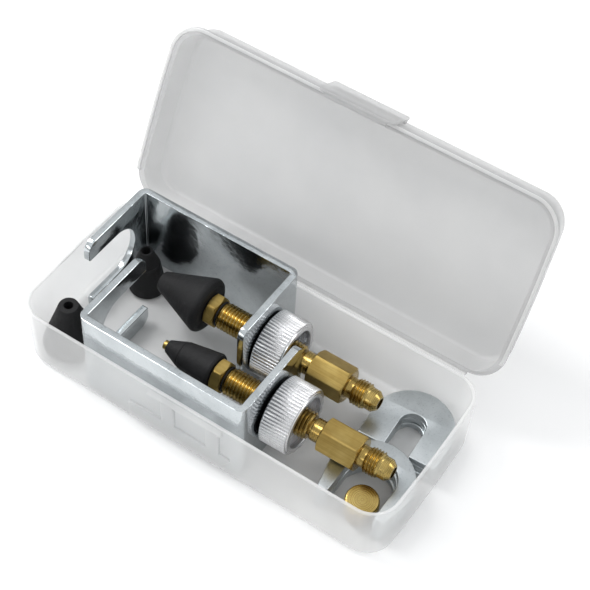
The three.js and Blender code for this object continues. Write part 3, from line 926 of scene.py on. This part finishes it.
def stem_place(side, x=0.0):
    """A spot on the stem's axis, x from the start of its thread."""
    stem = STEMS[side]
    face = YOKES[side]["left"] + YOKE_LENGTH
    turn = Matrix.Rotation(stem["yaw"], 4, "Z")
    along = Matrix.Translation((x - ARM_FACE_ON_STEM, 0, 0))
    return Matrix.Translation((face, stem["y"], YOKE_MIDDLE)) @ turn @ along


def threaded_stem(side):
    shape = bmesh.new()
    segments = 72
    root = STEM_RADIUS - STEM_THREAD_DEPTH
    bore = 2.2
    spigot_end = 50
    lathe(
        shape,
        [
            (0, root),
            (0, bore),
            (spigot_end, bore),
            (spigot_end, SPIGOT_RADIUS),
            (THREAD_END, SPIGOT_RADIUS),
            (THREAD_END, root),
        ],
        segments,
    )
    thread(shape, 0, THREAD_END, STEM_RADIUS, STEM_THREAD_DEPTH, STEM_PITCH, segments, root, root)
    finish_mesh(
        f"{side}_stem_thread",
        shape,
        ["brass_turned"],
        f"{side}_stem",
        [f"threaded_stem_{side}"],
        stem_place(side),
    )


def nozzle(side):
    """A thin tube that carries the rubber cone, and the hexagon behind it."""
    shape = bmesh.new()
    tip = -31.0
    bore = 0.9
    radius = 1.95
    spigot_end = 6.2
    rows = rounded([(tip, bore), (tip, radius, 0.35), (HEX_START, radius, 0.2), (HEX_START, 4)], steps=3)
    rows += hex_rows(HEX_START, HEX_END, 12.7, STEMS[side]["nozzle"])
    rows += [(HEX_END, SPIGOT_RADIUS), (spigot_end, SPIGOT_RADIUS), (spigot_end, bore)]
    lathe(shape, rows, 96, True)
    finish_mesh(
        f"{side}_nozzle_piece",
        shape,
        ["brass_drawn"],
        f"{side}_stem",
        [f"nozzle_{side}"],
        stem_place(side),
    )


def stem_seal(side):
    """An O-ring between the nozzle's hexagon and the stem."""
    shape = bmesh.new()
    lathe(shape, arc(0.34, 0, 2 * math.pi, 12, (-0.5, 5.2))[:-1], 64, True)
    finish_mesh(
        f"{side}_seal_ring",
        shape,
        ["rubber"],
        f"{side}_stem",
        [f"stem_seal_{side}"],
        stem_place(side),
    )


def flare_coupler(side):
    """Collar, hexagon, flare thread and seat, bored through."""
    shape = bmesh.new()
    segments = 96
    start = 39.6
    hex_start = 44.2
    hex_end = 60.9
    thread_start = 63.6
    thread_end = 69.9
    end = 74.9
    mouth = 3.6
    bore = 2.4
    collar = 4.75
    neck = 4.4
    root = FLARE_RADIUS - FLARE_THREAD_DEPTH
    front = [(start, mouth), (start, collar, 0.4), (hex_start, collar, 0.3), (hex_start, 5.6)]
    waist = [(hex_end, 5.4), (hex_end, neck, 0.4), (thread_start, neck, 0.2), (thread_start, root)]
    rows = rounded(front, steps=3)
    rows += hex_rows(hex_start, hex_end, 14, STEMS[side]["coupler"])
    rows += rounded(waist, steps=3)
    lathe(shape, rows, segments)
    thread(
        shape,
        thread_start,
        thread_end,
        FLARE_RADIUS,
        FLARE_THREAD_DEPTH,
        FLARE_PITCH,
        segments,
        root,
        root,
    )
    nose = [
        (thread_end, root),
        (thread_end + 0.25, 4.55),
        (end - 2.05, 4.55, 0.3),
        (end, 2.95, 0.25),
        (end, bore),
    ]
    lathe(shape, rounded(nose, steps=3) + [(hex_start, bore), (start, mouth)], segments)
    piece = finish_mesh(
        f"{side}_flare_fitting",
        shape,
        ["brass_turned", "brass_drawn"],
        f"{side}_stem",
        [f"flare_coupler_{side}"],
        stem_place(side),
    )
    cone_width = 0.3
    for face in piece.data.polygons:
        on_hexagon = hex_start + cone_width < face.center.x / MM < hex_end - cone_width
        if on_hexagon and face.center.yz.length / MM > FLARE_RADIUS:
            face.material_index = 1


def cone_rows(kind):
    """A rubber cone's outside, from its tip to its base on x = 0."""
    bore = 2.0
    if kind == "large":
        tip = -24.3
        outside = [(tip, 4.1, 0.5), (-2.6, 12.05, 1.6), (-1.2, 11.7, 1.5), (0, 9.8, 0.4)]
    else:
        tip = -23.1
        outside = [
            (tip, 2.7, 0.5),
            (-16.2, 5.45, 0.5),
            (-15.7, 5.25, 0.15),
            (-15.3, 5.8, 0.3),
            (-0.9, 8.0, 0.8),
            (0, 7.4, 0.4),
        ]
    return [(tip, bore, 0.2), *outside, (0, bore)]


def rubber_cone(name, kind, body, node, place):
    shape = bmesh.new()
    lathe(shape, rounded(cone_rows(kind), steps=5), 72, True)
    finish_mesh(name, shape, ["rubber"], body, [node], place, 50)


def thrust_washer(side):
    shape = bmesh.new()
    outer = WASHER_RADIUS
    bore = STEM_RADIUS + 0.3
    rows = [(0, bore), (0, outer, 0.25), (WASHER_THICKNESS, outer, 0.25), (WASHER_THICKNESS, bore)]
    lathe(shape, rounded(rows, steps=3), 96, True)
    finish_mesh(
        f"{side}_washer",
        shape,
        ["rubber"],
        f"{side}_nut",
        [f"thrust_washer_{side}"],
        stem_place(side, nut_start(side)),
    )


def nut_start(side):
    """Where the washer starts, clear of the yoke's arm out to the nut's edge on a stem that leans."""
    return ARM_FACE_ON_STEM + CLEARANCE + NUT_RADIUS * math.sin(STEMS[side]["yaw"])


def knurled_nut(side):
    """Straight ribs round the outside, a skirt over the washer, a plain band at the recessed end."""
    shape = bmesh.new()
    form = ribs(NUT_RIBS, 0.9, 1.15)
    radius = NUT_RADIUS
    end = NUT_LENGTH
    band = end - 0.7
    skirt = WASHER_RADIUS + CLEARANCE
    back = -NUT_SKIRT
    bore = STEM_RADIUS + 0.15
    recess = 10.9
    floor = 5.0
    rows = [(0, bore + 0.4), (0, skirt), (back, skirt), (back, radius - 1.1), (back + 0.6, radius, form)]
    rows += [(band - 0.5, radius, form), (band, radius - 0.3), (band, radius - 0.75)]
    rows += [(end - 0.5, radius - 0.95), (end - 0.15, radius - 1.1), (end, radius - 1.4)]
    rows += [(end, recess + 0.4), (end - 0.35, recess), (floor + 0.3, recess), (floor, recess - 0.3)]
    rows += [(floor, bore + 0.5), (floor - 0.5, bore), (0.4, bore)]
    lathe(shape, rows, NUT_RIBS * 8, True)
    place = stem_place(side, nut_start(side) + WASHER_THICKNESS + CLEARANCE)
    finish_mesh(
        f"{side}_nut_ring",
        shape,
        ["aluminium"],
        f"{side}_nut",
        [f"knurled_nut_{side}"],
        place,
    )


# ------------------------------------------------------------------ flare cap

CAP_RADIUS = 6.8
CAP_HEIGHT = 11.6
CAP_DEPTH = 8.6
CAP_MOUTH = 5.9
CAP_RIBS = 60


def cap_place():
    """The cap's own +X points up out of its closed end."""
    lean = Vector((0.08, -0.135, 1)).normalized()
    lifted = CAP_RADIUS * math.sqrt(1 - lean.z * lean.z)
    spot = Matrix.Translation((68.9, -21.9, FLOOR_INSIDE + lifted))
    return spot @ Vector((1, 0, 0)).rotation_difference(lean).to_matrix().to_4x4()


def flare_cap():
    """A cap with straight ribs outside and a thread inside."""
    shape = bmesh.new()
    segments = CAP_RIBS * 4
    form = ribs(CAP_RIBS, 0.3, 1.3)
    radius = CAP_RADIUS
    top = CAP_HEIGHT
    rows = [(0, CAP_MOUTH), (0, radius - 0.6), (0.35, radius - 0.35), (0.9, radius - 0.3)]
    rows += [(1.1, radius, form), (top - 1.3, radius, form)]
    rows += [(top - 1.1, radius - 0.3), (top - 0.5, radius - 0.35), (top - 0.12, radius - 0.6)]
    lathe(shape, rows + [(top, radius - 1), (top, 0)], segments)
    root = FLARE_RADIUS + 0.2
    start = 0.5
    end = CAP_DEPTH - 1.6
    lathe(shape, [(0, CAP_MOUTH), (start, root)], segments)
    thread(shape, start, end, FLARE_RADIUS - 0.55, 0.7, FLARE_PITCH, segments, root, root, True)
    lathe(shape, [(end, root), (CAP_DEPTH, root), (CAP_DEPTH, 0)], segments)
    finish_mesh("cap_piece", shape, ["brass_turned"], "cap", ["flare_cap"], cap_place())


def cap_seal():
    """A flat disc on the floor of the cap's hole."""
    shape = bmesh.new()
    start = CAP_DEPTH - 1.4
    end = CAP_DEPTH - 0.2
    radius = 5.1
    rows = [(start, 0), (start, radius, 0.2), (end, radius, 0.2), (end, 0)]
    lathe(shape, rounded(rows, steps=3), 64)
    finish_mesh("cap_gasket", shape, ["rubber"], "cap", ["cap_seal"], cap_place())


# ------------------------------------------------------------------ studio


def studio():
    shape = bmesh.new()
    bmesh.ops.create_grid(shape, x_segments=8, y_segments=8, size=3.0)
    mesh = bpy.data.meshes.new("studio_floor")
    shape.to_mesh(mesh)
    shape.free()
    mesh.materials.append(MATERIALS["floor"])
    floor = bpy.data.objects.new("studio_floor", mesh)
    scene.collection.objects.link(floor)


def sky():
    """Plain light, dim at the horizon and bright overhead."""
    world = bpy.data.worlds.new("studio_sky")
    scene.world = world
    world.use_nodes = True
    nodes = world.node_tree.nodes
    links = world.node_tree.links
    nodes.clear()
    where = nodes.new("ShaderNodeTexCoord")
    split = nodes.new("ShaderNodeSeparateXYZ")
    ramp = nodes.new("ShaderNodeValToRGB")
    background = nodes.new("ShaderNodeBackground")
    output = nodes.new("ShaderNodeOutputWorld")
    links.new(where.outputs["Generated"], split.inputs["Vector"])
    links.new(split.outputs["Z"], ramp.inputs["Fac"])
    elements = ramp.color_ramp.elements
    elements[0].position = 0.0
    elements[0].color = (0.42, 0.42, 0.43, 1)
    elements[1].position = 0.95
    elements[1].color = (0.95, 0.96, 0.97, 1)
    shoulder = elements.new(0.35)
    shoulder.color = (0.65, 0.66, 0.67, 1)
    background.inputs["Strength"].default_value = 1.0
    links.new(ramp.outputs["Color"], background.inputs["Color"])
    links.new(background.outputs["Background"], output.inputs["Surface"])


def soft_light(name, spot, target, size, power):
    light = bpy.data.lights.new(name, "AREA")
    light.shape = "RECTANGLE"
    light.size, light.size_y = size
    light.energy = power
    holder = bpy.data.objects.new(name, light)
    holder.location = spot
    holder.rotation_euler = (Vector(target) - Vector(spot)).to_track_quat("-Z", "Y").to_euler()
    scene.collection.objects.link(holder)


def lamps():
    soft_light("key_light", (-0.75, -0.05, 0.95), (0, 0, 0.03), (0.35, 0.6), 8)
    soft_light("fill_light", (0.75, 0.45, 0.7), (0, 0, 0.03), (0.25, 0.7), 2.5)
    soft_light("front_light", (-0.45, -0.9, 0.45), (-0.04, 0, 0.03), (0.6, 0.25), 1.2)


def camera():
    """The camera solved from the straight edges of the case."""
    lens = bpy.data.cameras.new("camera")
    lens.sensor_width = 36.0
    lens.lens = 94.98
    lens.clip_start = 0.01
    holder = bpy.data.objects.new("camera", lens)
    spot = Matrix.Translation((0.204615, -0.306545, 0.515525))
    forward = Vector((-0.32598, 0.54142, -0.77499)).normalized()
    level = forward.cross(Vector((0, 0, 1))).normalized()
    above = level.cross(forward).normalized()
    roll = math.radians(3.938)
    right = math.cos(roll) * level + math.sin(roll) * above
    up = -math.sin(roll) * level + math.cos(roll) * above
    turn = Matrix((right, up, -forward)).transposed()
    holder.matrix_world = spot @ turn.to_4x4()
    scene.collection.objects.link(holder)
    scene.camera = holder


# ------------------------------------------------------------------ assembly

studio()
sky()
lamps()
camera()
case_base()
case_lid()
hinge_bead()
latch_tab()
for side in ("back", "front"):
    yoke(side)
    threaded_stem(side)
    nozzle(side)
    stem_seal(side)
    flare_coupler(side)
    thrust_washer(side)
    knurled_nut(side)
for side, kind in (("back", "large"), ("front", "small")):
    base = stem_place(side, HEX_START - CLEARANCE)
    rubber_cone(f"{side}_cone", kind, f"{side}_stem", f"rubber_cone_{side}", base)
for kind, x, y in (("large", -71.8, -22.4), ("small", -65.1, 19.7)):
    tip_up = Matrix.Translation((x, y, FLOOR_INSIDE)) @ Matrix.Rotation(math.pi / 2, 4, "Y")
    rubber_cone(f"spare_{kind}_cone", kind, f"spare_{kind}", f"spare_cone_{kind}", tip_up)
plate_stack("narrow")
plate_stack("wide")
flare_cap()
cap_seal()
